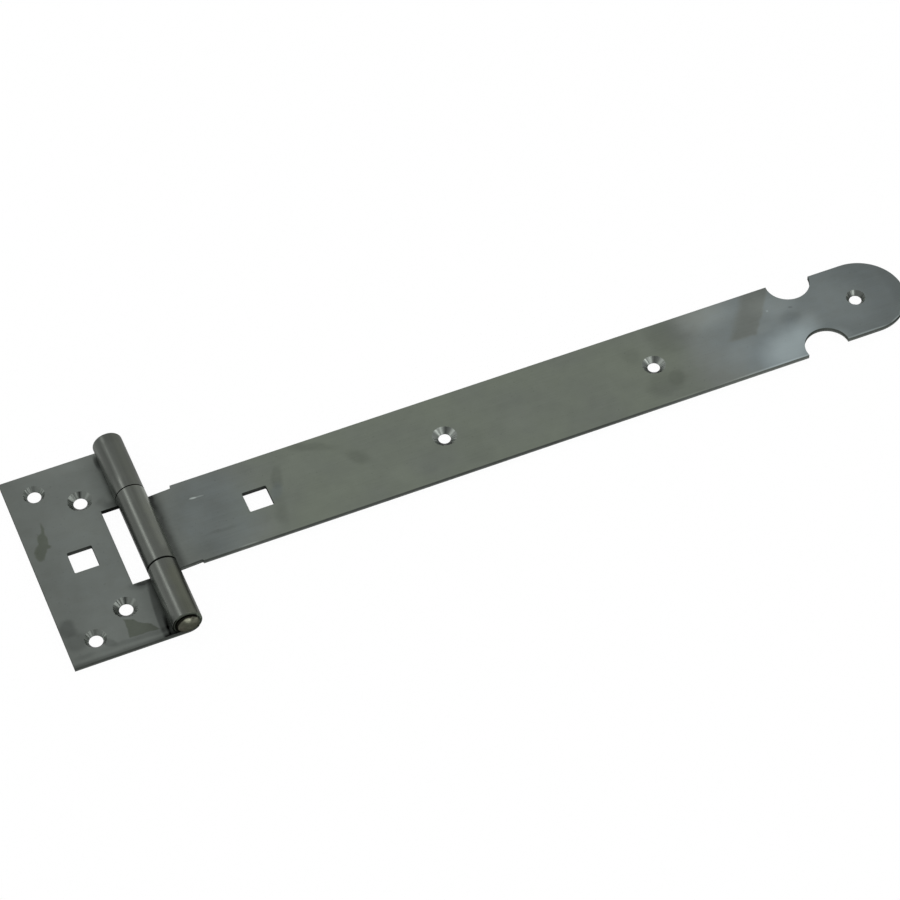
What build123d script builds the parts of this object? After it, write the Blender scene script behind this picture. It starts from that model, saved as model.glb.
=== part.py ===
from build123d import *
import math
import os

# Tee hinge of sheet steel: a short frame leaf with two outer knuckles, a long strap leaf with the
# middle knuckle, and a peened pin. X runs along the strap to its tip, Y along the pin, Z up.
# The origin is under the pin's axis, half way along the barrel, on the plane of the leaves' backs.
# All sizes are in millimetres.

# Sheet, pin and barrel
sheet = 2.0
pin_d = 8.0
pin_clearance = 0.05
seam_gap = 0.15
knuckle_end_play = 0.7
strap_rest_shift = -0.15

# Frame leaf
frame_height = 96.0
frame_reach = 45.3
window_height = 38.6
window_reach = 12.2
far_end_round = 1.0
near_end_round = 0.4

# Strap leaf
strap_width = 40.0
strap_offset = 0.35
strap_length = 326.4
shoulder_reach = 16.2
crank_start = 7.2
crank_rise = 0.6
head_width = 37.0
bite_centre_from_tip = 42.4
bite_spacing = 37.2
bite_shift = 0.3
bite_d = 18.5

# Square holes for carriage bolts
square_hole = 10.0
frame_square_reach = 26.1
strap_square_reach = 45.8

# Screw holes, countersunk from the face
frame_hole_d = 5.6
outer_sink_d = 8.2
inner_sink_d = 9.6
strap_hole_d = 5.1
strap_sink_d = 9.2
sink_land = 0.4
outer_screw_reach = 33.9
outer_screw_spacing = 75.6
outer_screw_shift = -0.2
inner_screw_reach = 18.3
inner_screw_spacing = 56.0
inner_screw_shift = -0.4
tip_screw_from_tip = 20.5
strap_screw_shift = 0.25
strap_screw_pitch = 90.7
strap_screw_count = 3

# Pin ends
pin_head_d = 9.2
pin_head_rise = 0.9
pin_head_round = 0.6

# Sizes that follow from those above
bore_r = pin_d / 2 + pin_clearance
barrel_r = bore_r + sheet
axis_height = barrel_r
knuckle_width = window_height - knuckle_end_play
neck_width = knuckle_width
strap_centre = strap_rest_shift + strap_offset
sink_depth = sheet - sink_land
overrun = 1.0


def rolled_section(side, flat_points):
    """Section of a leaf: the flat from the barrel's foot outwards, and the roll around the pin.

    side is 1 for a leaf that leaves the barrel towards +X, and -1 towards -X.
    """
    # The roll's free end stops just above the face of its own flat.
    end_dip = math.asin(1 - (sheet + seam_gap) / barrel_r)
    wedge_reach = 2 * barrel_r
    end_x = side * wedge_reach * math.cos(end_dip)
    end_z = -wedge_reach * math.sin(end_dip)
    ring = Pos(0, axis_height) * (Circle(barrel_r) - Circle(bore_r))
    wedge = Pos(0, axis_height) * Polygon(
        (0, 0),
        (0, -wedge_reach),
        (side * wedge_reach, -wedge_reach),
        (end_x, end_z),
        align=None,
    )
    flat = Polygon(*flat_points, align=None)
    return Plane.XZ * (ring - wedge + flat)


def screw_hole(x, y, face_z, hole_d, sink_d):
    """Cutter for one countersunk hole whose sheet has its face at face_z."""
    shank = Pos(x, y, face_z - sheet / 2) * Cylinder(hole_d / 2, sheet + 2 * overrun)
    return shank + Pos(x, y, face_z - sink_depth / 2) * Cone(hole_d / 2, sink_d / 2, sink_depth)


def square_cutter(x, y, face_z):
    return Pos(x, y, face_z - sheet / 2) * Box(square_hole, square_hole, sheet + 2 * overrun)


def end_round_cutter(side, radius):
    """Takes the outer corner off a knuckle's end, above the sheet's own flat."""
    depth = 2 * radius
    y = side * (frame_height - depth) / 2
    blank = Cylinder(barrel_r + overrun, depth)
    kept = Cylinder(barrel_r, depth)
    kept = fillet(kept.edges().sort_by(Axis.Z)[-1], radius)
    tool = Pos(0, y, axis_height) * Rot(-side * 90, 0, 0) * (blank - kept)
    above = Pos(0, y, sheet + barrel_r) * Box(4 * barrel_r, depth, 2 * barrel_r)
    return tool & above


def make_frame_leaf():
    flat = [(-frame_reach, 0), (0, 0), (0, sheet), (-frame_reach, sheet)]
    leaf = extrude(rolled_section(-1, flat), amount=frame_height / 2, both=True)
    window_length = window_reach + barrel_r + overrun
    leaf -= Pos(window_length / 2 - window_reach, 0, barrel_r) * Box(
        window_length, window_height, 2 * barrel_r + 2 * overrun
    )
    leaf -= square_cutter(-frame_square_reach, 0, sheet)
    for side in (-1, 1):
        outer_y = outer_screw_shift + side * outer_screw_spacing / 2
        inner_y = inner_screw_shift + side * inner_screw_spacing / 2
        leaf -= screw_hole(-outer_screw_reach, outer_y, sheet, frame_hole_d, outer_sink_d)
        leaf -= screw_hole(-inner_screw_reach, inner_y, sheet, frame_hole_d, inner_sink_d)
    leaf -= end_round_cutter(1, far_end_round)
    leaf -= end_round_cutter(-1, near_end_round)
    return leaf


def strap_outline():
    """The strap's shape seen from above, from behind the barrel to the tip."""
    head_r = head_width / 2
    bite_x = strap_length - bite_centre_from_tip
    neck = Pos((shoulder_reach - barrel_r - overrun) / 2, strap_rest_shift) * Rectangle(
        shoulder_reach + barrel_r + overrun, neck_width
    )
    blade_length = bite_x - shoulder_reach
    blade = Pos(shoulder_reach + blade_length / 2, strap_centre) * Rectangle(blade_length, strap_width)
    head_straight = strap_length - head_r - bite_x
    head = Pos(bite_x + head_straight / 2, strap_centre) * Rectangle(head_straight, head_width)
    tip = Pos(strap_length - head_r, strap_centre) * Circle(head_r)
    outline = neck + blade + head + tip
    for side in (-1, 1):
        bite_y = strap_centre + bite_shift + side * bite_spacing / 2
        outline -= Pos(bite_x, bite_y) * Circle(bite_d / 2)
    return outline


def make_strap_leaf():
    back = crank_rise
    face = crank_rise + sheet
    flat = [
        (0, 0),
        (crank_start, 0),
        (shoulder_reach, back),
        (strap_length, back),
        (strap_length, face),
        (shoulder_reach, face),
        (crank_start, sheet),
        (0, sheet),
    ]
    leaf = extrude(rolled_section(1, flat), amount=strap_width, both=True)
    leaf &= Pos(0, 0, -overrun) * extrude(strap_outline(), amount=2 * barrel_r + 2 * overrun)
    leaf -= square_cutter(strap_square_reach, strap_centre, face)
    for index in range(strap_screw_count):
        x = strap_length - tip_screw_from_tip - index * strap_screw_pitch
        leaf -= screw_hole(x, strap_centre + strap_screw_shift, face, strap_hole_d, strap_sink_d)
    return leaf


def make_hinge_pin():
    """Round bar with both ends peened to low heads over the outer knuckles' end faces."""
    pin = Cylinder(pin_d / 2, frame_height)
    for side in (-1, 1):
        head = Cylinder(pin_head_d / 2, pin_head_rise)
        head = fillet(head.edges().sort_by(Axis.Z)[-1], pin_head_round)
        turn = 0 if side > 0 else 180
        pin += Pos(0, 0, side * (frame_height + pin_head_rise) / 2) * Rot(turn, 0, 0) * head
    return Pos(0, 0, axis_height) * Rot(-90, 0, 0) * pin


def main():
    os.makedirs("parts", exist_ok=True)
    pieces = {
        "frame_leaf": make_frame_leaf(),
        "strap_leaf": make_strap_leaf(),
        "hinge_pin": make_hinge_pin(),
    }
    for name, piece in pieces.items():
        export_step(piece, f"parts/{name}.step")


main()
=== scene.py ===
import math

import bmesh
import bpy
from mathutils import Matrix, Vector


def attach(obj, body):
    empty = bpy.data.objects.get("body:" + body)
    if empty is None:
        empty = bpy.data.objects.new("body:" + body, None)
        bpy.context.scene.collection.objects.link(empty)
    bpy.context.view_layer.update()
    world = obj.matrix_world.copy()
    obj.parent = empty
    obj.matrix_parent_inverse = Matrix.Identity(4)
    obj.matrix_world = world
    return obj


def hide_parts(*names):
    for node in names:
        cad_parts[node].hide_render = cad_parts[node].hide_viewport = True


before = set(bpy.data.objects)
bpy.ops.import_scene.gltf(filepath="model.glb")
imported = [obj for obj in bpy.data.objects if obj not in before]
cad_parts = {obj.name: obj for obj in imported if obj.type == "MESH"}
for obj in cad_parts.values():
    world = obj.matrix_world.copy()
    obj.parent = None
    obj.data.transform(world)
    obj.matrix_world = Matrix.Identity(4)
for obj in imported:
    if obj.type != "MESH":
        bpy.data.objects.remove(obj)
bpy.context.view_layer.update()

# A tee hinge of bare sheet steel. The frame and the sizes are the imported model's: X runs along the
# strap to its tip, Y along the pin, Z up. Sizes here are in millimetres, and mm turns them to metres.
mm = 0.001

# Sheet, pin and barrel
sheet = 2.0
axis_height = 6.05
bore_radius = 4.05
seam_gap = 0.15
roll_steps = 62

# A screw hole is (x, y, radius, radius of its countersink's mouth, strength of the painted reflection rays in
# its countersink), and a square hole is (x, y, width along X, length along Y).

# Frame leaf
frame_height = 96.0
frame_reach = 45.2
window_height = 38.6
window_reach = 12.45
far_end_round = 1.0
near_end_round = 0.4
frame_screws = [
    (-33.98, 37.7, 2.75, 4.3, 1.0),
    (-33.6, -37.93, 2.75, 4.3, 1.0),
    (-18.36, 27.45, 2.75, 4.9, 1.0),
    (-18.4, -28.5, 2.75, 4.9, 0.9),
]
frame_square = (-26.1, -0.25, 10.0, 10.5)

# Strap leaf
strap_middle = 0.2
strap_width = 40.0
strap_tip = 326.4
crank_start = 7.2
crank_rise = 0.6
shoulder_reach = 16.2
neck_far_side = 18.8
neck_near_side = -19.1
head_width = 37.0
bite_reach = 284.0
bite_middle = 0.5
bite_spacing = 37.2
bite_radius = 9.25
strap_screws = [
    (124.4, 0.22, 2.5, 4.9, 1.0),
    (215.55, 0.65, 2.5, 4.75, 0.75),
    (306.0, 0.55, 2.5, 4.0, 0.0),
]
strap_square = (45.8, strap_middle, 10.0, 10.0)

# Countersinks: their land, and the waves that a chattering tool leaves round them
sink_land = 0.25
chatter_teeth = 26
tooth_sides = 3
chatter_depth = 0.03

# Edges as the press leaves them. An edge that turns by more than sharp_edge degrees is sharp, and one that
# turns by less than soft_edge is shaded as a round.
die_roll = 0.28
corner_round = 0.45
gap_bevel = 0.38
sharp_edge = 50.0
soft_edge = 28.0

# How far the punches reach past what they cut, and where they end before, behind and over the barrel
overlap = 1
spare = 5
past_barrel = 8
behind_barrel = -10
over_barrel = 14

# A face looks along an axis when more than this share of its normal points that way. Places are the same when
# they are no further apart than near_enough, and just_over is a small step past a plane.
looks_along = 0.9
near_enough = 0.01
just_over = 0.1

# Pin: each ring of a peened end, as (step outwards, radius)
pin_radius = 4.0
pin_sides = 72
pin_soft_edge = 40.0
peened_rings = [
    (0.0, 4.12),
    (0.10, 4.12),
    (0.04, 4.52),
    (0.16, 4.6),
    (0.22, 4.5),
    (0.2, 4.1),
    (0.11, 3.4),
    (0.04, 2.5),
    (0.02, 1.4),
    (0.01, 0.6),
]

# Hammer blows on a peened end, as (x, height over the pin's axis, reach, depth)
hammer_dents = [
    (0.4, 3.0, 1.2, 0.12),
    (-2.9, 2.6, 1.6, 0.2),
    (1.9, -0.6, 1.7, 0.07),
    (-2.2, -1.6, 1.6, 0.08),
]

# Floor, in metres but for its drop under the leaves
floor_size = 6
floor_drop = 0.05
floor_grey = 0.9
floor_roughness = 0.9
floor_clearness = 0.97


# --- Hand tools ---


def take_up(piece):
    """Makes a piece the only one selected, and the active one."""
    bpy.ops.object.select_all(action="DESELECT")
    piece.select_set(True)
    bpy.context.view_layer.objects.active = piece


def put_down():
    bpy.ops.object.mode_set(mode="OBJECT")


def pick(piece, kind, wanted):
    """Opens a piece for editing, with just the corners, edges or faces selected that are wanted."""
    take_up(piece)
    bpy.ops.object.mode_set(mode="EDIT")
    bpy.ops.mesh.select_mode(type=kind)
    bpy.ops.mesh.select_all(action="DESELECT")
    mesh = bmesh.from_edit_mesh(piece.data)
    parts = {"VERT": mesh.verts, "EDGE": mesh.edges, "FACE": mesh.faces}[kind]
    found = [part for part in parts if wanted(part)]
    for part in found:
        part.select_set(True)
    bmesh.update_edit_mesh(piece.data)
    return len(found)


def settle(piece, name):
    """Puts a new primitive's place into its mesh."""
    piece.name = name
    piece.data.name = name
    bpy.ops.object.transform_apply(location=True, rotation=True, scale=True)
    return piece


def wear(piece, material):
    piece.data.materials.clear()
    piece.data.materials.append(material)
    return piece


def block(name, low, high):
    """A box between two corners, in millimetres."""
    middle = [(a + b) / 2 * mm for a, b in zip(low, high)]
    bpy.ops.object.select_all(action="DESELECT")
    bpy.ops.mesh.primitive_cube_add(size=1, location=middle)
    piece = bpy.context.object
    piece.scale = [(b - a) * mm for a, b in zip(low, high)]
    return settle(piece, name)


def upright(name, x, y, radius, low, high, sides):
    """A round bar that stands along Z."""
    bpy.ops.object.select_all(action="DESELECT")
    bpy.ops.mesh.primitive_cylinder_add(
        vertices=sides,
        radius=radius * mm,
        depth=(high - low) * mm,
        location=(x * mm, y * mm, (low + high) / 2 * mm),
    )
    return settle(bpy.context.object, name)


def round_edges(piece, wanted, size, steps, wears=-1):
    """Bevels the wanted edges to a round of that size.

    With wears, the number of a material slot, the round wears that finish and keeps its full size. Without it,
    the round wears its neighbours' finish and gives way where there is no room.
    """
    if pick(piece, "EDGE", wanted):
        bpy.ops.mesh.bevel(
            offset=size * mm,
            segments=steps,
            profile=0.5,
            affect="EDGES",
            clamp_overlap=wears < 0,
            material=wears,
        )
    put_down()


def combine(piece, tool, operation):
    """Cuts a piece with a tool, or adds the tool to it. The new faces wear the tool's material."""
    change = piece.modifiers.new(operation, "BOOLEAN")
    change.operation = operation
    change.solver = "EXACT"
    change.material_mode = "TRANSFER"
    change.object = tool
    take_up(piece)
    bpy.ops.object.modifier_apply(modifier=change.name)
    bpy.data.objects.remove(tool)


def punch(piece, tool):
    combine(piece, tool, "DIFFERENCE")


def stands(edge):
    """True for an edge that runs along Z."""
    run = edge.verts[1].co - edge.verts[0].co
    return abs(run.z) > 0.99 * run.length


def turn_of(edge):
    """Angle in degrees between an edge's two faces."""
    return math.degrees(edge.calc_face_angle(0.0))


# --- Steel finishes ---

# Shades of the bare steel, each as a share of the tone that it is given
plain_grey = (0.915, 1.0, 0.92)
olive_film = (0.885, 1.0, 0.815)
blue_film = (0.86, 1.0, 1.02)
roll_grey = (0.935, 1.0, 0.91)
roll_olive = (0.94, 1.0, 0.8)

# Where a Mix node takes its share and its two colours, and gives its result
mix_share, mix_first, mix_second, mix_result = 0, 6, 7, 2

# A stretch past the end of every piece, for what a leaf doesn't have, and a height that takes in all of them
nowhere = (400, 401)
any_height = 1000


class Reading:
    """One output of a finish's nodes. Sums written on it add the nodes that work them out."""

    def __init__(self, finish, socket):
        self.finish = finish
        self.socket = socket

    def sum(self, operation, *terms):
        return self.finish.node("Math", {"operation": operation}, dict(enumerate(terms)))

    def __add__(self, other):
        return self.sum("ADD", self, other)

    def __sub__(self, other):
        return self.sum("SUBTRACT", self, other)

    def __rsub__(self, other):
        return self.sum("SUBTRACT", other, self)

    def __mul__(self, other):
        return self.sum("MULTIPLY", self, other)

    __radd__ = __add__
    __rmul__ = __mul__


class Finish:
    """A material while it is mixed. Lengths in it are millimetres on the piece."""

    def __init__(self, name, edge_tint):
        self.material = bpy.data.materials.new(name)
        self.material.use_nodes = True
        self.tree = self.material.node_tree
        self.shader = self.tree.nodes["Principled BSDF"]
        self.shader.inputs["Metallic"].default_value = 1.0
        self.shader.inputs["Specular Tint"].default_value = (edge_tint, edge_tint, edge_tint, 1)
        here = self.node("TexCoord", output="Object")
        self.place = self.node("VectorMath", {"operation": "SCALE"}, {0: here, "Scale": 1 / mm})

    def feed(self, socket, value):
        if isinstance(value, Reading):
            self.tree.links.new(value.socket, socket)
        else:
            socket.default_value = value

    def node(self, kind, settings=None, sockets=None, output=0):
        """Adds a node: its settings first, then its sockets' values or links."""
        made = self.tree.nodes.new("ShaderNode" + kind)
        for name, value in (settings or {}).items():
            if name == "stops":
                ramp = made.color_ramp.elements
                while len(ramp) < len(value):
                    ramp.new(0.5)
                for stop, (position, grey) in zip(ramp, value):
                    stop.position = position
                    stop.color = (grey, grey, grey, 1)
            else:
                setattr(made, name, value)
        for name, value in (sockets or {}).items():
            self.feed(made.inputs[name], value)
        return Reading(self, made.outputs[output])

    def noise(self, pitch, detail, stretch=(1, 1, 1), shift=0.0, output=0):
        """Cloudy pattern whose blobs are about pitch across, longer where stretch is more than 1."""
        scale = tuple(1 / s for s in stretch)
        sockets = {"Vector": self.place, "Scale": scale, "Location": (shift, shift, shift)}
        spot = self.node("Mapping", sockets=sockets)
        sockets = {"Vector": spot, "Scale": 1 / pitch, "Detail": detail}
        return self.node("TexNoise", sockets=sockets, output=output)

    def smear(self, pitch, reach):
        """The place, pushed about by a cloudy pattern, so that marks get ragged outlines."""
        push = self.noise(pitch, 3, shift=31.0, output="Color")
        push = self.node("VectorMath", {"operation": "SUBTRACT"}, {0: push, 1: (0.5, 0.5, 0.5)})
        push = self.node("VectorMath", {"operation": "SCALE"}, {0: push, "Scale": 2 * reach})
        return self.node("VectorMath", {"operation": "ADD"}, {0: self.place, 1: push})

    def step(self, value, start, end, low=0.0, high=1.0):
        sockets = {"Value": value, "From Min": start, "From Max": end, "To Min": low, "To Max": high}
        return self.node("MapRange", {"interpolation_type": "SMOOTHSTEP"}, sockets)

    def axis(self, place, name):
        return self.node("SeparateXYZ", sockets={0: place}, output=name)

    def spot(self, place, x, y, long, wide, turn, soft):
        """1 inside an oval mark that lies turn degrees from X, and 0 outside."""
        sockets = {
            "Vector": place,
            "Location": (x, y, 0),
            "Rotation": (0, 0, math.radians(turn)),
            "Scale": (long, wide, any_height),
        }
        inside = self.node("Mapping", {"vector_type": "TEXTURE"}, sockets)
        reach = self.node("VectorMath", {"operation": "LENGTH"}, {0: inside}, output="Value")
        return self.step(reach, 1 + soft, 1 - soft)

    def beyond(self, place, x, y, heading, soft):
        """1 on the far side of a line through a point, 0 on the near side. heading points across it."""
        sockets = {"Vector": place, "Location": (x, y, 0), "Rotation": (0, 0, math.radians(heading))}
        across = self.node("Mapping", {"vector_type": "TEXTURE"}, sockets)
        return self.step(self.axis(across, "X"), -soft, soft)

    def blend(self, share, low, high):
        """A colour between two, given as (red, green, blue) or as another blend."""
        low, high = (c if isinstance(c, Reading) else (*c, 1) for c in (low, high))
        sockets = {mix_share: share, mix_first: low, mix_second: high}
        return self.node("Mix", {"data_type": "RGBA"}, sockets, mix_result)

    def colour(self, tone, shade):
        """Sets the base colour: a shade at a tone."""
        shade = shade if isinstance(shade, Reading) else (*shade, 1)
        grey = self.node("CombineColor", sockets={0: tone, 1: tone, 2: tone})
        sockets = {mix_share: 1.0, mix_first: grey, mix_second: shade}
        base = self.node("Mix", {"data_type": "RGBA", "blend_type": "MULTIPLY"}, sockets, mix_result)
        self.feed(self.shader.inputs["Base Color"], base)

    def rough(self, value):
        self.feed(self.shader.inputs["Roughness"], value)

    def relief(self, height, depth):
        """Bumps of a pattern from 0 to 1, depth millimetres deep."""
        sockets = {"Strength": 1.0, "Distance": depth * mm, "Height": height}
        bump = self.node("Bump", sockets=sockets, output="Normal")
        self.feed(self.shader.inputs["Normal"], bump)


def marked(finish, place, marks):
    """What all the marks together add to a tone of 1."""
    total = 0.0
    for x, y, long, wide, turn, strength, soft in marks:
        total = finish.spot(place, x, y, long, wide, turn, soft) * strength + total
    return total


def stained(finish, place, ovals):
    """1 inside any of the ovals of a stain, and 0 outside them all."""
    clear = 1.0
    for oval in ovals:
        clear = (1 - finish.spot(place, *oval)) * clear
    return 1 - clear


def rolled_face(
    name, level, drawn_lines, barrel_foot, slopes, marks, scratches_and_painted_light, wedges, stain, films, rim_shading, roll
):
    """The mill face of the sheet, with its smudges, and the darker polished roll of the knuckles.

    slopes are (axis, start, end, strength). marks and scratches_and_painted_light are ovals with ragged and
    with clean outlines, wedges are sets of lines that close a patch, and stain is ovals that run together.
    films has the places of the olive and of the blue shade, rim_shading the painted highlight and shade of the
    rounded edges by the way that they face, and roll the tones of the knuckles, which paint light and shade
    round their top and flanks.
    """
    finish = Finish(name, 0.75)
    place = finish.place
    smeared = finish.smear(7.0, 1.7)
    clouds = finish.noise(24.0, 3)
    mottle = finish.noise(5.0, 4, shift=7.0)
    drawn = finish.noise(0.5, 3, stretch=(40, 1, 1), shift=3.0)
    specks = finish.noise(0.9, 2, shift=11.0)
    fine = finish.noise(0.28, 2, shift=5.0)

    x, y, z = (finish.axis(place, letter) for letter in "XYZ")
    ends = {"X": x, "Y": y}
    tone = marked(finish, smeared, marks) + marked(finish, place, scratches_and_painted_light) + 1.0
    for axis, start, end, strength in slopes:
        tone = tone + finish.step(ends[axis], start, end) * strength
    patches = stained(finish, smeared, stain) * -0.28
    for lines, strength in wedges:
        patch = strength
        for line in lines:
            patch = finish.beyond(smeared, *line) * patch
        patches = patch + patches
    tone = tone + patches
    tone = tone + (clouds - 0.5) * 0.3 + (mottle - 0.5) * 0.18 + (drawn - 0.5) * drawn_lines
    tone = tone + finish.step(specks, 0.66, 0.74) * -0.14 + (fine - 0.5) * 0.06

    facing = finish.node("TexCoord", output="Normal")
    across, along, up = (finish.axis(facing, letter) for letter in "XYZ")
    # Painted highlight and shade on the rounded edges of the face, by the way that they face: +X, far and near
    painted_rim_light = finish.step(across, 0.25, 0.6) * rim_shading["window side"]
    painted_rim_light = painted_rim_light + finish.step(along, 0.25, 0.6) * rim_shading["far"]
    near_rim_light = marked(finish, place, rim_shading["marks"]) + rim_shading["near"]
    painted_rim_light = painted_rim_light + finish.step(along, -0.25, -0.6) * near_rim_light
    tone = tone + finish.step(up, 0.98, 0.9) * painted_rim_light

    on_roll = finish.step(z, barrel_foot, barrel_foot + 1.2)
    roll_lines = finish.noise(1.1, 3, stretch=(1, 26, 1), shift=17.0)
    # Painted light and shade round the knuckles: tones for the top, the shoulder and the right and left
    # flanks, and the marks' painted highlights and shade. The lines and the mottle are the roll's own.
    roll_tone_and_shading = finish.step(x, 0.6, 3.2, roll["top"], roll["shoulder"])
    roll_tone_and_shading = roll_tone_and_shading + finish.step(x, 3.8, 5.9) * roll["right"]
    roll_tone_and_shading = roll_tone_and_shading + finish.step(x, -3.2, -5.2) * roll["left"]
    roll_tone_and_shading = roll_tone_and_shading + marked(finish, place, roll["marks"])
    roll_tone_and_shading = roll_tone_and_shading + (roll_lines - 0.5) * 0.16 + (mottle - 0.5) * 0.14
    tone = tone + on_roll * (roll_tone_and_shading - tone)

    olive = finish.step(x, *films["olive"]) * 0.75 + (clouds - 0.5) * 1.1
    olive = olive - finish.step(x, *films["no olive"]) * 1.2
    olive = finish.step(olive - patches * 2.4, 0.0, 1.0)
    blue = marked(finish, smeared, films["blue"]) + (mottle - 0.5) * 0.35 + patches * 2.4
    blue = finish.step(blue, 0.0, 1.0)
    shade = finish.blend(blue, finish.blend(olive, plain_grey, olive_film), blue_film)
    oiled = finish.step(x, -3.0, 3.0) * finish.step(y, -19.0, -28.0, 0.4, 1.0)
    roll_shade = finish.blend(finish.step(oiled + (mottle - 0.5) * 0.6, 0.0, 1.0), roll_grey, roll_olive)

    finish.colour(tone * level, finish.blend(on_roll, shade, roll_shade))
    dull = finish.step(y, *roll["dull"]) * 0.14
    finish.rough(0.36 + (mottle - 0.5) * 0.16 + (clouds - 0.5) * 0.1 - on_roll * (0.08 - dull))
    finish.relief(drawn * 0.5 + fine * 0.35 + specks * 0.3, 0.006)
    return finish.material


def sheared_edge(name, level, face_height, along, marks=(), shade_to=None):
    """A sheared edge: a smooth drawn band next to the face, and torn grain below it.

    along is how the grain is stretched. The edge is in the shade up to shade_to on X.
    """
    finish = Finish(name, 0.3)
    z = finish.axis(finish.place, "Z")
    torn = finish.step(z, face_height - 0.35, face_height - 0.95)
    grain = finish.noise(0.5, 3, stretch=along)
    patches = finish.noise(9.0, 2, shift=4.0)
    tone = 1.35 - torn * 0.45 + (grain - 0.5) * (torn * 0.9 + 0.25) + (patches - 0.5) * 0.8
    # Painted light: lighter towards the bottom, over the shade of the floor beneath
    tone = tone + finish.step(z, face_height - 0.5, face_height - 1.7) * 1.7
    if marks:
        tone = tone + marked(finish, finish.place, marks)
    if shade_to:
        tone = tone * finish.step(finish.axis(finish.place, "X"), shade_to - 1.5, shade_to, 0.15, 1.0)
    finish.colour(tone * level, plain_grey)
    finish.rough(torn * 0.2 + 0.35 + (grain - 0.5) * 0.2)
    finish.relief(grain, 0.03)
    return finish.material


def knuckle_end():
    """Sheared ring at an outer knuckle's end: a painted dark reflection, with a painted highlight on its top,
    pale at its right.
    """
    finish = Finish("knuckle end", 0.3)
    out = finish.node("VectorMath", {"operation": "SUBTRACT"}, {0: finish.place, 1: (0, 0, axis_height)})
    x, z = finish.axis(out, "X"), finish.axis(out, "Z")
    radius = x.sum("SQRT", x * x + z * z)
    specks = finish.noise(0.5, 2)
    upper_left = finish.step(z - x, 1.0, 4.0)
    line = finish.step(radius, 5.0, 5.2) * finish.step(radius, 5.5, 5.3)
    painted_top_highlight = finish.step(radius, 5.0, 5.3) * finish.step(x * 0.4 + z, 1.6, 3.4)
    right = finish.step(x - z * 0.2, 2.8, 4.2)
    tone = 0.011 + line * upper_left * 0.04 + painted_top_highlight * 0.07
    tone = tone + right * (finish.step(specks, 0.45, 0.6) * 0.1 + 0.02)
    finish.colour(tone, olive_film)
    finish.rough(0.5)
    finish.relief(specks, 0.03)
    return finish.material


def sunk_flank(name, rays):
    """The turned flank of a countersink. Its bright and dark rays round the hole are painted reflections."""
    finish = Finish(name, 0.6)
    out = finish.node("Attribute", {"attribute_name": "from_hole"}, output="Vector")
    across, up, strength = (finish.axis(out, letter) for letter in "XYZ")
    fine = finish.noise(0.35, 2)
    turn = across.sum("ARCTAN2", up, across) * (0.5 / math.pi) + 0.5 + (fine - 0.5) * 0.012
    stops = [(azimuth / 360 + 0.5, grey) for azimuth, grey in rays]
    ring = finish.node("ValToRGB", {"stops": stops}, {"Fac": turn})
    painted_ray_tone = finish.node("SeparateColor", sockets={0: ring})
    share = strength + (1 - strength) * finish.step(up, 0.3, -0.8)
    calm = finish.step(strength, 0.2, 0.05)
    plain = 0.12
    tone = plain + (painted_ray_tone - plain) * share + calm * (marked(finish, out, calm_sink_highlights) - 0.02)
    finish.colour(tone * (fine * 0.5 + 0.75), plain_grey)
    finish.rough(0.3)
    finish.relief(fine, 0.01)
    return finish.material


def pin_finish():
    """Drawn bar, hammered over at its ends: brownish, with painted highlights on its dents, and painted shade
    where the head rolls in.
    """
    finish = Finish("pin", 0.4)
    out = finish.node("VectorMath", {"operation": "SUBTRACT"}, {0: finish.place, 1: (0, 0, axis_height)})
    x, z = finish.axis(out, "X"), finish.axis(out, "Z")
    push = (finish.noise(1.2, 2, shift=2.0) - 0.5) * 0.9
    ragged = finish.node("CombineXYZ", sockets={0: x + push, 1: z + push})
    clouds = finish.noise(2.2, 3)
    fine = finish.noise(0.4, 2)
    tone = 0.085 + (clouds - 0.5) * 0.09 + (fine - 0.5) * 0.03
    # Painted shade: near-black round the head's face, in the groove where the head rolls into the knuckle's
    # end
    tone = tone * finish.spot(ragged, 0.35, -0.5, 4.35, 4.35, 0, 0.07)
    tone = tone + marked(finish, ragged, head_highlights)
    rust = finish.step(x, 0.0, -3.5) * finish.step(z, 1.0, -2.0)
    finish.colour(tone.sum("MAXIMUM", tone, 0.008), finish.blend(rust, (0.97, 1.0, 0.77), (1.05, 1.0, 0.8)))
    finish.rough(0.32 + (clouds - 0.5) * 0.2)
    finish.relief(clouds * 0.8 + fine * 0.12, 0.1)
    return finish.material


# Painted reflections round a countersink: bright and dark rays, as (degrees from X, tone)
outer_painted_rays = [
    (-180, 0.32),
    (-165, 0.15),
    (-150, 0.1),
    (-45, 0.09),
    (-30, 0.14),
    (-15, 0.33),
    (0, 0.32),
    (15, 0.2),
    (30, 0.19),
    (45, 0.14),
    (60, 0.13),
    (75, 0.095),
    (90, 0.11),
    (105, 0.12),
    (120, 0.16),
    (134, 0.24),
    (150, 0.27),
    (165, 0.35),
    (180, 0.32),
]
inner_painted_rays = [
    (-180, 0.28),
    (-165, 0.24),
    (-150, 0.15),
    (-135, 0.12),
    (-90, 0.11),
    (-60, 0.19),
    (-45, 0.24),
    (-30, 0.2),
    (-15, 0.16),
    (0, 0.135),
    (15, 0.145),
    (30, 0.22),
    (42, 0.135),
    (60, 0.14),
    (68, 0.08),
    (75, 0.02),
    (82, 0.08),
    (90, 0.14),
    (105, 0.13),
    (120, 0.2),
    (132, 0.44),
    (142, 0.24),
    (152, 0.19),
    (165, 0.32),
    (180, 0.28),
]
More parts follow.
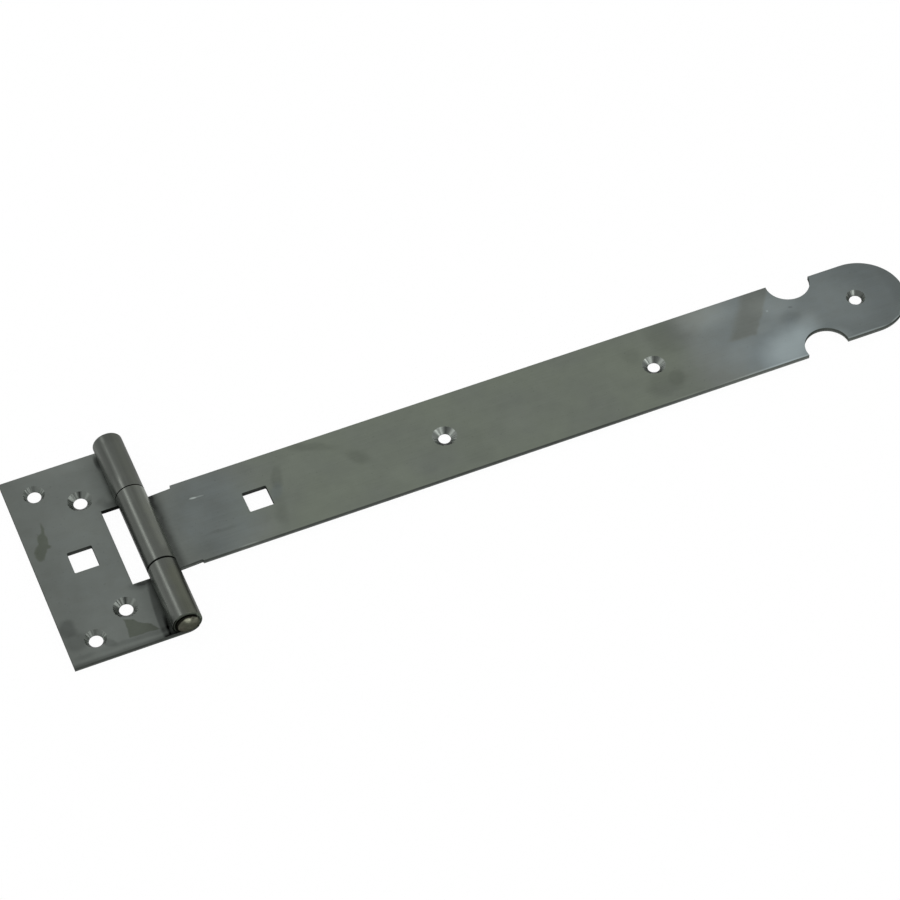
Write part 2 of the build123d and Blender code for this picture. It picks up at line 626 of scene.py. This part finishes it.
strap_painted_rays = [
    (-180, 0.27),
    (-165, 0.27),
    (-150, 0.21),
    (-135, 0.12),
    (-120, 0.09),
    (-90, 0.09),
    (-75, 0.19),
    (-60, 0.3),
    (-45, 0.28),
    (-30, 0.22),
    (-15, 0.16),
    (4, 0.15),
    (15, 0.35),
    (25, 0.27),
    (35, 0.14),
    (45, 0.1),
    (60, 0.055),
    (68, 0.09),
    (76, 0.17),
    (86, 0.29),
    (93, 0.3),
    (100, 0.22),
    (108, 0.26),
    (118, 0.48),
    (128, 0.22),
    (136, 0.15),
    (150, 0.16),
    (165, 0.2),
    (180, 0.27),
]

# Marks are (x, y, half length, half width, degrees from X, strength, softness), but the ovals of a stain have
# no strength. Lines of a wedge are (x, y, way across in degrees, softness), and slopes (axis, start, end,
# strength).

# In a countersink where the tool hardly chattered, from the hole's middle: a painted glint, and the flanks
# painted lighter left and right over their shade
calm_sink_highlights = [
    (0.5, 3.5, 1.0, 0.8, 80, 0.13, 0.6),
    (-2.9, 0.2, 1.3, 2.3, 0, 0.3, 0.7),
    (2.2, -2.4, 1.2, 1.2, 0, 0.18, 0.7),
]

# On the leaves
frame_marks = [
    (-42.3, -29.8, 3.4, 3.8, -10, -0.26, 0.4),
    (-40.6, -36.5, 4.8, 3.8, 20, -0.17, 0.4),
    (-29.5, -41.2, 3.5, 1.7, -48, -0.25, 0.4),
    (-18.0, -44.2, 13.0, 1.2, 0, -0.19, 0.7),
    (-40.5, -44.2, 3.5, 1.1, 0, -0.12, 0.7),
    (-20.0, -25.2, 3.0, 1.5, 10, 0.06, 0.6),
    (-14.0, 46.0, 11.0, 3.0, 0, 0.1, 0.8),
    (-10.8, 23.2, 2.0, 2.0, 0, -0.13, 0.6),
    (-10.3, -20.6, 4.0, 1.8, 0, -0.28, 0.7),
    (-9.3, -19.9, 3.0, 1.0, 0, -0.3, 0.5),
]
frame_stain = [
    (-37.6, 14.0, 4.7, 2.1, 76, 0.22),
    (-40.1, 9.3, 4.3, 2.4, 68, 0.22),
    (-37.2, 10.6, 1.9, 1.1, -20, 0.3),
    (-36.1, 19.6, 2.6, 0.7, 84, 0.6),
]
# Painted shade in the corner between the frame leaf and its barrel, darkest by the pin's near end
foot_shade_marks = [
    (-5.6, -46.9, 1.8, 1.3, -30, -0.22, 0.5),
    (-7.2, -35.5, 2.0, 16.0, -4.5, -0.4, 0.25),
    (-6.3, -43.0, 1.1, 4.5, 0, -0.36, 0.6),
    (-6.3, 43.0, 0.9, 3.5, 0, -0.45, 0.5),
    (-7.5, 20.5, 2.8, 1.8, 0, -0.28, 0.7),
]
# The second slope is painted shade towards the barrel's foot; the first and the last darken towards the outer
# and the near edge.
frame_slopes = [
    ("X", -26.0, -46.0, -0.13),
    ("X", -16.0, -8.0, -0.14),
    ("Y", -45.9, -47.8, -0.36),
]
frame_wedge = [
    (-21.4, -37.0, 0, 0.35),
    (-19.4, -34.4, 246, 0.35),
    (-13.7, -39.2, 224, 0.35),
    (-15.0, -42.9, 87, 0.35),
]
strap_marks = [
    (89.0, 4.0, 5.4, 2.6, -42, -0.15, 0.6),
    (74.0, 16.2, 9.5, 2.0, -24, -0.15, 0.6),
    (56.2, 7.2, 5.5, 2.2, 66, -0.16, 0.4),
    (53.4, 0.5, 5.0, 2.2, 66, -0.09, 0.5),
    (64.0, 8.0, 8.0, 6.0, 20, 0.05, 0.8),
    (28.5, -8.7, 6.5, 0.8, 2, -0.1, 0.7),
    (31.0, 0.0, 6.0, 8.0, 0, -0.05, 0.7),
    (20.5, 3.0, 5.0, 6.0, 0, 0.05, 0.8),
    (19.0, -15.0, 8.0, 4.0, 0, -0.1, 0.8),
    (52.0, -9.5, 2.5, 6.5, -10, -0.12, 0.7),
    (41.0, -16.0, 8.0, 3.6, 5, 0.08, 0.7),
    (103.5, -10.0, 5.5, 4.5, 10, 0.05, 0.7),
    (154.0, -5.0, 5.0, 7.0, 0, 0.06, 0.8),
    (135.0, -5.0, 5.0, 4.0, -30, -0.05, 0.7),
    (134.0, -14.0, 6.0, 4.0, -20, -0.05, 0.7),
    (216.0, -10.5, 8.8, 5.6, 10, -0.13, 0.3),
    (221.0, -9.0, 3.2, 4.2, -10, -0.08, 0.3),
    (209.0, 8.0, 3.4, 4.0, 0, -0.09, 0.6),
    (227.0, 11.0, 7.5, 9.5, 15, -0.12, 0.4),
    (216.5, 13.0, 3.0, 6.0, 0, 0.05, 0.5),
    # The next nine marks light the bright patch near the bites: partly a polished patch, partly a painted
    # reflection
    (256.0, -1.0, 24.0, 24.0, 0, 0.2, 0.5),
    (245.0, 16.0, 10.0, 6.0, 0, 0.3, 0.8),
    (269.5, -14.0, 11.0, 8.0, 25, 0.8, 0.7),
    (281.0, -6.0, 6.5, 4.5, 40, 0.4, 0.7),
    (290.0, -17.0, 5.0, 4.0, 60, 0.3, 0.7),
    (299.0, 1.0, 11.0, 12.0, 0, 0.15, 0.7),
    (274.5, 10.5, 7.5, 6.0, 0, 0.22, 0.7),
    (251.0, -7.0, 6.0, 5.0, 30, 0.12, 0.7),
    (264.0, 0.6, 3.0, 2.2, 0, 0.1, 0.6),
    (276.5, 1.5, 3.6, 3.0, 0, -0.16, 0.6),
    (323.5, 0.0, 3.0, 15.0, 0, -0.1, 0.6),
    # The last three marks are painted shade along the barrel's foot
    (9.3, 15.0, 2.2, 7.0, 0, -0.12, 0.8),
    (7.4, 3.0, 1.1, 22.0, 0, -0.1, 0.6),
    (7.2, 16.0, 1.1, 5.0, 0, -0.16, 0.6),
]
strap_scratches_and_rim_highlights = [
    (22.5, 10.6, 1.3, 0.42, -6, 1.3, 0.5),
    (24.9, 10.5, 1.9, 0.32, -4, 0.45, 0.6),
    # The next six are painted highlights along the near rim and round the tip
    (35.0, -19.6, 3.5, 0.45, 0, 0.35, 0.5),
    (222.0, -19.6, 8.0, 0.45, 0, 0.2, 0.5),
    (261.0, -19.6, 22.0, 0.5, 0, 0.55, 0.5),
    (302.0, -18.1, 10.0, 0.5, 0, 0.6, 0.5),
    (315.4, -16.6, 3.4, 0.5, 25, 0.6, 0.5),
    (320.0, -13.0, 3.0, 0.5, 48, 0.4, 0.5),
    (269.7, 8.3, 0.5, 0.5, 0, 0.5, 0.5),
    (279.2, 6.4, 0.9, 0.5, -20, -0.3, 0.5),
]
strap_patch = [(267.7, 9.0, 144, 0.8), (258.0, 12.0, 324, 2.2), (255.0, -1.4, 84, 1.0)]
# The first slope darkens towards the barrel, partly the sheet's own tone and partly painted shading of how the
# light falls along the strap; the second is painted shade at the barrel's foot; the third darkens towards the
# tip.
strap_slopes = [
    ("X", 55.0, 18.0, -0.13),
    ("X", 11.4, 7.8, -0.36),
    ("X", 286.0, 316.0, -0.14),
]
blue_on_frame = [(-24.0, 0.0, 22.0, 46.0, 0, 0.25, 0.9)]
blue_on_strap = [
    (28.0, 0.0, 17.0, 24.0, 0, 0.45, 0.4),
    (53.4, 0.5, 5.0, 2.4, 66, 0.4, 0.5),
    # These two give the bright patch near the bites its blue: partly its own tint, partly a painted reflection
    (286.0, 0.0, 50.0, 30.0, 0, 0.62, 0.3),
    (268.0, -14.0, 14.0, 10.0, 25, 0.5, 0.7),
]
# Painted highlights and shade on the frame leaf's knuckles: light lines along the far knuckle's highlight,
# light strips down the left flanks, and darker patches on the far knuckle's left, the right flank and the near
# end's foot
frame_roll_light_and_shade = [
    (0.0, 46.0, 6.0, 3.0, 0, -0.06, 0.6),
    (-2.0, 45.5, 0.6, 2.0, 0, 0.2, 0.6),
    (-2.1, 35.0, 0.4, 7.0, 0, 0.1, 0.6),
    (-1.5, 27.0, 0.8, 5.0, 0, 0.05, 0.6),
    (-4.3, 34.0, 1.9, 12.0, 0, -0.12, 0.5),
    (-5.35, -31.5, 0.5, 15.0, 0, 0.6, 0.7),
    (-5.5, 33.0, 0.5, 12.0, 0, 0.3, 0.7),
    (-5.2, -46.9, 1.0, 1.8, 0, -0.3, 0.6),
    (5.0, -34.0, 1.4, 16.0, 0, -0.24, 0.6),
    (1.5, -44.0, 2.6, 3.0, 0, -0.05, 0.8),
]
# Painted shade on the middle knuckle's right by the near gap, and a painted highlight along its top
strap_roll_light_and_shade = [
    (4.3, -17.5, 2.4, 4.0, 0, -0.2, 0.5),
    (-1.0, 16.0, 1.2, 6.0, 0, 0.06, 0.6),
]
# Painted highlights along the strap's near sheared edge
edge_highlights = [
    (35.0, -19.8, 7.0, 2.0, 0, 0.5, 0.8),
    (262.0, -19.8, 48.0, 3.0, 0, 0.9, 0.7),
]
# Painted highlights along the strap's rounded near edge
near_rim_highlights = [
    (35.0, -19.8, 4.0, 2.0, 0, 0.45, 0.6),
    (222.0, -19.8, 8.0, 2.0, 0, 0.3, 0.6),
    (262.0, -19.8, 26.0, 2.0, 0, 0.6, 0.4),
    (307.0, -18.0, 14.0, 4.0, 0, 0.8, 0.3),
]

# Painted highlights on the pin's peened ends, with the height over the pin's axis for y
head_highlights = [
    (0.3, 2.6, 1.2, 1.0, -45, 0.25, 0.8),
    (0.8, 2.7, 0.55, 0.45, 0, 0.16, 0.8),
    (2.4, 1.0, 1.5, 1.2, 0, 0.03, 0.7),
    (-0.7, 3.2, 0.6, 0.4, 0, 0.1, 0.6),
    (3.4, 1.9, 0.9, 0.6, 20, 0.04, 0.7),
]

frame_face = rolled_face(
    "frame leaf face",
    level=0.147,
    drawn_lines=0.07,
    barrel_foot=sheet + 0.5,
    slopes=frame_slopes,
    marks=frame_marks,
    scratches_and_painted_light=foot_shade_marks,
    wedges=[(frame_wedge, -0.34)],
    stain=frame_stain,
    films={"olive": nowhere, "no olive": nowhere, "blue": blue_on_frame},
    rim_shading={"window side": -0.65, "far": -0.06, "near": -0.12, "marks": []},
    roll={
        "top": 0.64,
        "shoulder": 0.7,
        "right": 0.0,
        "left": 0.24,
        "marks": frame_roll_light_and_shade,
        "dull": (22, 28),
    },
)
strap_face = rolled_face(
    "strap leaf face",
    level=0.158,
    drawn_lines=0.12,
    barrel_foot=sheet + crank_rise + 0.3,
    slopes=strap_slopes,
    marks=strap_marks,
    scratches_and_painted_light=strap_scratches_and_rim_highlights,
    wedges=[(strap_patch, -0.2)],
    stain=[],
    films={"olive": (24, 62), "no olive": (222, 250), "blue": blue_on_strap},
    rim_shading={"window side": -0.5, "far": -0.12, "near": 0.02, "marks": near_rim_highlights},
    roll={
        "top": 0.6,
        "shoulder": 0.86,
        "right": 1.1,
        "left": 0.06,
        "marks": strap_roll_light_and_shade,
        "dull": nowhere,
    },
)
frame_edge = sheared_edge("frame leaf edge", 0.058, sheet, (3, 3, 0.6))
strap_edge = sheared_edge("strap leaf edge", 0.066, sheet + crank_rise, (6, 6, 0.6), edge_highlights, 7.5)
punched_hole = sheared_edge("punched hole", 0.042, sheet, (1, 1, 4))
shaded_edge = sheared_edge("shaded edge", 0.013, sheet, (4, 4, 0.6))
ring_steel = knuckle_end()
outer_sink = sunk_flank("outer countersink", outer_painted_rays)
inner_sink = sunk_flank("inner countersink", inner_painted_rays)
strap_sink = sunk_flank("strap leaf countersink", strap_painted_rays)
pin_steel = pin_finish()


# --- Leaves ---


def rolled_strip(name, low_y, high_y, side, flat_steps, face):
    """A strip on edge at the barrel's foot, drawn out to the flat and spun up into the roll.

    side is 1 where the flat leaves the barrel towards +X. flat_steps are (x, z) moves of the flat's end.
    """
    bpy.ops.object.select_all(action="DESELECT")
    bpy.ops.mesh.primitive_plane_add(
        size=1,
        location=(0, (low_y + high_y) / 2 * mm, sheet / 2 * mm),
        rotation=(0, side * math.pi / 2, 0),
    )
    strip = bpy.context.object
    strip.scale = (sheet * mm, (high_y - low_y) * mm, 1)
    settle(strip, name)
    wear(strip, face)
    bpy.ops.object.mode_set(mode="EDIT")
    bpy.ops.mesh.select_all(action="SELECT")
    for x, z in flat_steps:
        bpy.ops.mesh.extrude_region_move(TRANSFORM_OT_translate={"value": (x * mm, 0, z * mm)})
    put_down()
    end_dip = math.asin(1 - (sheet + seam_gap) / (bore_radius + sheet))
    sweep = 1.5 * math.pi + end_dip
    pick(strip, "FACE", lambda f: abs(f.calc_center_median().x) < near_enough * mm)
    bpy.ops.mesh.spin(steps=roll_steps, angle=-side * sweep, center=(0, 0, axis_height * mm), axis=(0, 1, 0))
    put_down()
    take_up(strip)
    bpy.ops.object.mode_set(mode="EDIT")
    bpy.ops.mesh.select_all(action="SELECT")
    bpy.ops.mesh.remove_doubles(threshold=0.001 * mm)
    bpy.ops.mesh.normals_make_consistent(inside=False)
    put_down()
    return strip


def dress(leaf, material, wanted):
    """Gives the wanted faces another finish."""
    leaf.data.materials.append(material)
    pick(leaf, "FACE", wanted)
    leaf.active_material_index = leaf.data.materials.find(material.name)
    bpy.ops.object.material_slot_assign()
    put_down()


def square_punch(x, y, width, length, top):
    low = (x - width / 2, y - length / 2, -overlap)
    tool = block("square punch", low, (x + width / 2, y + length / 2, top + overlap))
    round_edges(tool, stands, corner_round, 3)
    return wear(tool, punched_hole)


def countersink_tool(x, y, radius, mouth, top, flank):
    """Drill and countersink in one, its flank waved as a tool that chatters leaves it."""
    depth = sheet - sink_land
    over = 0.5
    mouth += over * (mouth - radius) / depth
    sides = tooth_sides * chatter_teeth
    drill = wear(upright("drill", x, y, radius, -overlap, top + over, sides), punched_hole)
    bpy.ops.object.select_all(action="DESELECT")
    bpy.ops.mesh.primitive_cone_add(
        vertices=sides,
        radius1=radius * mm,
        radius2=mouth * mm,
        depth=(depth + over) * mm,
        location=(x * mm, y * mm, (top + (over - depth) / 2) * mm),
    )
    sink = wear(settle(bpy.context.object, "countersink"), flank)
    middle = Vector((x * mm, y * mm, 0))
    for start, grow in ((0, 1 - chatter_depth), (1, 1 + chatter_depth)):

        def wanted(v):
            spoke = v.co - middle
            corner = round(math.atan2(spoke.y, spoke.x) / math.tau * sides)
            return v.co.z > top * mm and corner % tooth_sides == start

        pick(sink, "VERT", wanted)
        bpy.ops.transform.resize(value=(grow, grow, 1), center_override=(x * mm, y * mm, top * mm))
        put_down()
    combine(drill, sink, "UNION")
    return drill


def finish_edges(leaf):
    """Die roll round the face's outline."""

    def on_face(edge):
        steepest = min(abs(f.normal.z) for f in edge.link_faces)
        highest = max(f.normal.z for f in edge.link_faces)
        return turn_of(edge) > sharp_edge and steepest < 0.3 and highest > looks_along

    round_edges(leaf, on_face, die_roll, 4)


def note_holes(leaf, holes):
    """Stores at each corner the way from its nearest screw hole, and the strength of that hole's painted
    reflection rays.
    """
    away = leaf.data.attributes.new("from_hole", "FLOAT_VECTOR", "POINT")
    for corner, note in zip(leaf.data.vertices, away.data):
        x, y = corner.co.x / mm, corner.co.y / mm
        nearest = min(holes, key=lambda hole: math.hypot(x - hole[0], y - hole[1]))
        note.vector = (x - nearest[0], y - nearest[1], nearest[-1])


def smooth(piece, angle):
    take_up(piece)
    bpy.ops.object.shade_smooth_by_angle(angle=math.radians(angle))
    weigh = piece.modifiers.new("weigh", "WEIGHTED_NORMAL")
    weigh.keep_sharp = True
    bpy.ops.object.modifier_apply(modifier=weigh.name)


def barrel_rim(y):
    """Picks the outer edge of a knuckle's end at y, above the sheet's own flat."""

    def wanted(edge):
        for v in edge.verts:
            out = math.hypot(v.co.x, v.co.z - axis_height * mm)
            if abs(v.co.y - y * mm) > near_enough * mm or v.co.z < (sheet + just_over) * mm:
                return False
            if abs(out - (bore_radius + sheet) * mm) > 2 * near_enough * mm:
                return False
        return True

    return wanted


def make_frame_leaf():
    half = frame_height / 2
    leaf = rolled_strip("frame_leaf_sheet", -half, half, -1, [(-frame_reach, 0)], frame_face)
    outer = (just_over - frame_reach) * mm
    above = (sheet + just_over) * mm
    dress(leaf, frame_edge, lambda f: abs(f.normal.y) > looks_along or f.calc_center_median().x < outer)
    dress(leaf, ring_steel, lambda f: abs(f.normal.y) > looks_along and f.calc_center_median().z > above)
    low = (-window_reach, -window_height / 2, -overlap)
    window = block("window punch", low, (past_barrel, window_height / 2, over_barrel))
    punch(leaf, wear(window, shaded_edge))
    punch(leaf, square_punch(*frame_square, sheet))
    shaded = leaf.data.materials.find(shaded_edge.name)
    round_edges(leaf, barrel_rim(half), far_end_round, 6)
    round_edges(leaf, barrel_rim(-half), near_end_round, 4)
    round_edges(leaf, barrel_rim(-window_height / 2), gap_bevel, 2, shaded)
    finish_edges(leaf)
    for x, y, radius, mouth, _ in frame_screws:
        flank = outer_sink if x < frame_square[0] else inner_sink
        punch(leaf, countersink_tool(x, y, radius, mouth, sheet, flank))
    note_holes(leaf, frame_screws)
    smooth(leaf, soft_edge)
    return leaf


def make_strap_leaf():
    half = strap_width / 2
    low, high = strap_middle - half, strap_middle + half
    steps = [
        (crank_start, 0),
        (shoulder_reach - crank_start, crank_rise),
        (bite_reach - shoulder_reach, 0),
        (strap_tip - bite_reach, 0),
    ]
    leaf = rolled_strip("strap_leaf_sheet", low, high, 1, steps, strap_face)
    dress(leaf, strap_edge, lambda f: abs(f.normal.y) > looks_along)
    leaf.data.materials.append(shaded_edge)
    for name, y0, y1 in (("near", low - spare, neck_near_side), ("far", neck_far_side, high + spare)):
        corner = (behind_barrel, y0, -overlap)
        tool = block(name + " shoulder punch", corner, (shoulder_reach, y1, over_barrel))
        round_edges(tool, stands, corner_round, 3)
        punch(leaf, wear(tool, strap_edge))
    shaded = leaf.data.materials.find(shaded_edge.name)
    round_edges(leaf, barrel_rim(neck_near_side), gap_bevel, 2, shaded)
    over_flat = 5
    radius = head_width / 2
    tip_middle = strap_tip - radius
    bottom, top = -2 * overlap, over_flat + overlap
    corner = (bite_reach - overlap, strap_middle - radius, bottom)
    head = block("head", corner, (tip_middle, strap_middle + radius, top))
    combine(head, upright("tip", tip_middle, strap_middle, radius, bottom, top, 160), "UNION")
    corner = (bite_reach, low - spare, -overlap)
    waste = block("head punch", corner, (strap_tip + spare, high + spare, over_flat))
    combine(waste, head, "DIFFERENCE")
    punch(leaf, wear(waste, strap_edge))
    for side in (-1, 1):
        y = bite_middle + side * bite_spacing / 2
        bite = upright("bite punch", bite_reach, y, bite_radius, -overlap, over_flat, 120)
        punch(leaf, wear(bite, strap_edge))
    punch(leaf, square_punch(*strap_square, sheet + crank_rise))
    finish_edges(leaf)
    for x, y, radius, mouth, _ in strap_screws:
        punch(leaf, countersink_tool(x, y, radius, mouth, sheet + crank_rise, strap_sink))
    note_holes(leaf, strap_screws)
    smooth(leaf, soft_edge)
    return leaf


def make_pin():
    bpy.ops.object.select_all(action="DESELECT")
    bpy.ops.mesh.primitive_cylinder_add(
        vertices=pin_sides,
        radius=pin_radius * mm,
        depth=frame_height * mm,
        location=(0, 0, axis_height * mm),
        rotation=(math.pi / 2, 0, 0),
    )
    pin = wear(settle(bpy.context.object, "peened_pin"), pin_steel)
    centre = (0, 0, axis_height * mm)
    for side in (-1, 1):
        pick(pin, "FACE", lambda f: f.normal.y * side > looks_along and len(f.verts) == pin_sides)
        last = pin_radius
        for rise, radius in peened_rings:
            bpy.ops.mesh.extrude_region_move(TRANSFORM_OT_translate={"value": (0, side * rise * mm, 0)})
            bpy.ops.transform.resize(value=(radius / last, 1, radius / last), center_override=centre)
            last = radius
        put_down()
        for x, z, reach, depth in hammer_dents:

            def under_hammer(v):
                off = math.hypot(v.co.x - x * side * mm, v.co.z - (axis_height + z) * mm)
                return v.co.y * side > (frame_height / 2 + 0.4) * mm and off < reach * mm

            if pick(pin, "VERT", under_hammer):
                bpy.ops.transform.translate(value=(0, -side * depth * mm, 0))
            put_down()
    smooth(pin, pin_soft_edge)
    return pin


frame_leaf = make_frame_leaf()
strap_leaf = make_strap_leaf()
pin = make_pin()

for piece, node, body, finish in (
    (frame_leaf, "frame_leaf", "frame", "frame_leaf_steel"),
    (strap_leaf, "strap_leaf", "strap", "strap_leaf_steel"),
    (pin, "hinge_pin", "frame", "pin_steel"),
):
    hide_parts(node)
    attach(piece, body)


# --- Studio ---


def make_floor():
    """Pale floor just under the leaves.

    The camera sees through most of it to the white behind, so the strap still shows where it swings below,
    and the shadow stays. Light from below passes it freely, and all other light meets a plain pale floor.
    """
    bpy.ops.object.select_all(action="DESELECT")
    bpy.ops.mesh.primitive_plane_add(size=floor_size, location=(0, 0, -floor_drop * mm))
    floor = bpy.context.object
    floor.name = "floor"
    material = bpy.data.materials.new("pale floor")
    material.use_nodes = True
    tree = material.node_tree
    shader = tree.nodes["Principled BSDF"]
    shader.inputs["Base Color"].default_value = (floor_grey, floor_grey, floor_grey, 1)
    shader.inputs["Roughness"].default_value = floor_roughness
    clear = tree.nodes.new("ShaderNodeBsdfTransparent")
    path = tree.nodes.new("ShaderNodeLightPath")
    share = tree.nodes.new("ShaderNodeMath")
    share.operation = "MULTIPLY"
    share.inputs[1].default_value = floor_clearness
    side = tree.nodes.new("ShaderNodeNewGeometry")
    clearness = tree.nodes.new("ShaderNodeMath")
    clearness.operation = "MAXIMUM"
    mix = tree.nodes.new("ShaderNodeMixShader")
    tree.links.new(path.outputs["Is Camera Ray"], share.inputs[0])
    tree.links.new(share.outputs[0], clearness.inputs[0])
    tree.links.new(side.outputs["Backfacing"], clearness.inputs[1])
    tree.links.new(clearness.outputs[0], mix.inputs[0])
    tree.links.new(shader.outputs[0], mix.inputs[1])
    tree.links.new(clear.outputs[0], mix.inputs[2])
    tree.links.new(mix.outputs[0], tree.nodes["Material Output"].inputs["Surface"])
    floor.data.materials.append(material)


def make_world():
    """A soft white tent all round: steel in it shows about the colour that it is given."""
    world = bpy.data.worlds.new("studio")
    bpy.context.scene.world = world
    world.use_nodes = True
    back = world.node_tree.nodes["Background"]
    back.inputs["Color"].default_value = (1, 1, 1, 1)
    back.inputs["Strength"].default_value = 1.0


def make_lamp(name, direction, distance, target, width, height, brightness):
    """A softbox in a direction from its target. Its brightness is against the white of the tent."""
    light = bpy.data.lights.new(name, "AREA")
    light.shape = "RECTANGLE"
    light.size = width
    light.size_y = height
    light.energy = brightness * math.pi * width * height
    lamp = bpy.data.objects.new(name, light)
    bpy.context.scene.collection.objects.link(lamp)
    target = Vector(target)
    lamp.location = target + Vector(direction).normalized() * distance
    lamp.rotation_euler = (target - lamp.location).to_track_quat("-Z", "Y").to_euler()


def make_camera():
    data = bpy.data.cameras.new("camera")
    data.lens = 125.93
    data.sensor_width = 36
    camera = bpy.data.objects.new("camera", data)
    bpy.context.scene.collection.objects.link(camera)
    right = Vector((0.92388, -0.38177, -0.02647))
    up = Vector((0.31129, 0.70947, 0.63226))
    back = Vector((-0.2226, -0.59237, 0.77431))
    turn = Matrix((right, up, back)).transposed()
    camera.matrix_world = Matrix.Translation((-0.15219, -0.74137, 0.96211)) @ turn.to_4x4()
    bpy.context.scene.camera = camera


make_floor()
make_world()
make_lamp("strip light, back left", (-0.44, 0.6, 0.665), 1.0, (0, 0, 0.01), 0.13, 0.4, 4.1)
make_lamp("softbox, front", (0.3, -0.75, 0.6), 1.2, (0.15, 0, 0), 0.4, 0.4, 2.5)
make_camera()
bpy.context.scene.view_settings.view_transform = "Standard"
